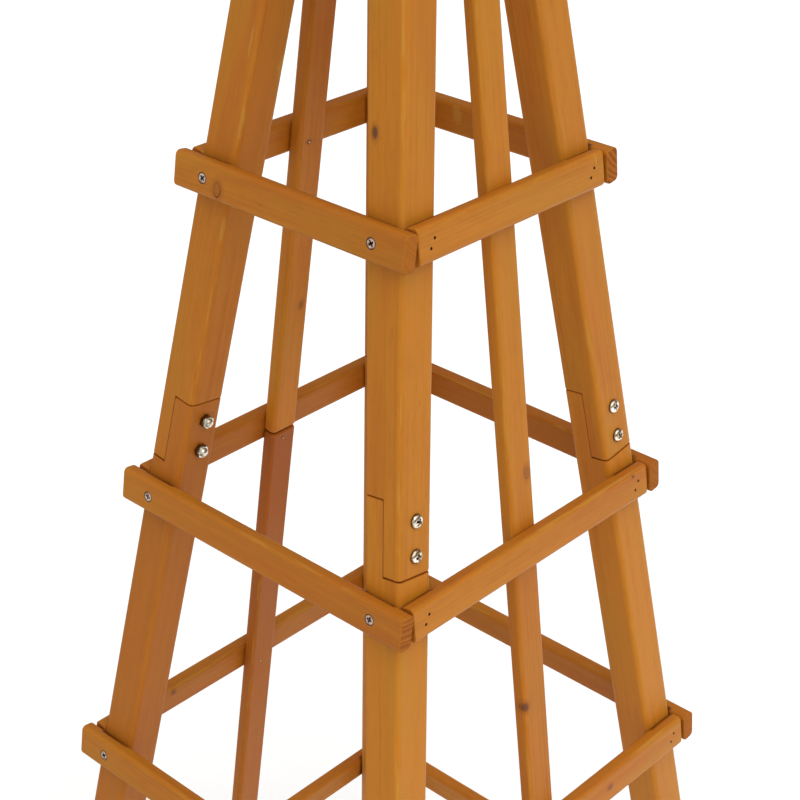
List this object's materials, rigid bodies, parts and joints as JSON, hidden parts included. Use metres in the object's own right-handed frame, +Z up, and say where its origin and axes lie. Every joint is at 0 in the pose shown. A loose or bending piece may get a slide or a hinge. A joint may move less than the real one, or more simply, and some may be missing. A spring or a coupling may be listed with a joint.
{
  "type": "garden obelisk",
  "caption": "Tall wooden garden obelisk for climbing plants: four leaning legs in bolted halves, ringed by flat rails, with slim uprights on two sides, a square cap and a ball finial.",
  "frame": {"origin": "on the ground at the centre of the four feet", "axes": "+Z up the vertical axis of the obelisk; -Y towards the front, whose long rails run along X; +X towards the right side, which has an upright"},
  "size_m": [0.474, 0.495, 1.5],
  "materials": {
    "leg_wood": "honey-brown stained softwood, satin",
    "rail_wood": "honey-brown stained softwood, satin",
    "upright_wood": "honey-brown stained softwood, satin",
    "cap_wood": "honey-brown stained softwood, satin",
    "finial_wood": "turned, honey-brown stained softwood, satin",
    "lap_bolt_steel": "bright zinc plated",
    "lap_nut_steel": "bright zinc plated",
    "wood_screw_steel": "yellow-passivated zinc plated",
    "brad_steel": "dulled plain steel"
  },
  "bodies": {
    "root": {"leg_front_left_lower": "leg_wood", "leg_front_left_upper": "leg_wood", "leg_front_right_lower": "leg_wood", "leg_front_right_upper": "leg_wood", "leg_back_left_lower": "leg_wood", "leg_back_left_upper": "leg_wood", "leg_back_right_lower": "leg_wood", "leg_back_right_upper": "leg_wood", "rail_front_1": "rail_wood", "rail_front_2": "rail_wood", "rail_front_3": "rail_wood", "rail_front_4": "rail_wood", "rail_front_5": "rail_wood", "rail_back_1": "rail_wood", "rail_back_2": "rail_wood", "rail_back_3": "rail_wood", "rail_back_4": "rail_wood", "rail_back_5": "rail_wood", "rail_left_1": "rail_wood", "rail_left_2": "rail_wood", "rail_left_3": "rail_wood", "rail_left_4": "rail_wood", "rail_left_5": "rail_wood", "rail_right_1": "rail_wood", "rail_right_2": "rail_wood", "rail_right_3": "rail_wood", "rail_right_4": "rail_wood", "rail_right_5": "rail_wood", "upright_left_lower": "upright_wood", "upright_left_upper": "upright_wood", "upright_right_lower": "upright_wood", "upright_right_upper": "upright_wood", "cap": "cap_wood", "finial": "finial_wood", "finial_screw": "wood_screw_steel", "lap_bolts": "lap_bolt_steel", "lap_nuts": "lap_nut_steel", "rail_screws": "wood_screw_steel", "rail_brads": "brad_steel", "upright_brads": "brad_steel", "cap_screws": "wood_screw_steel"}
  },
  "joints": []
}
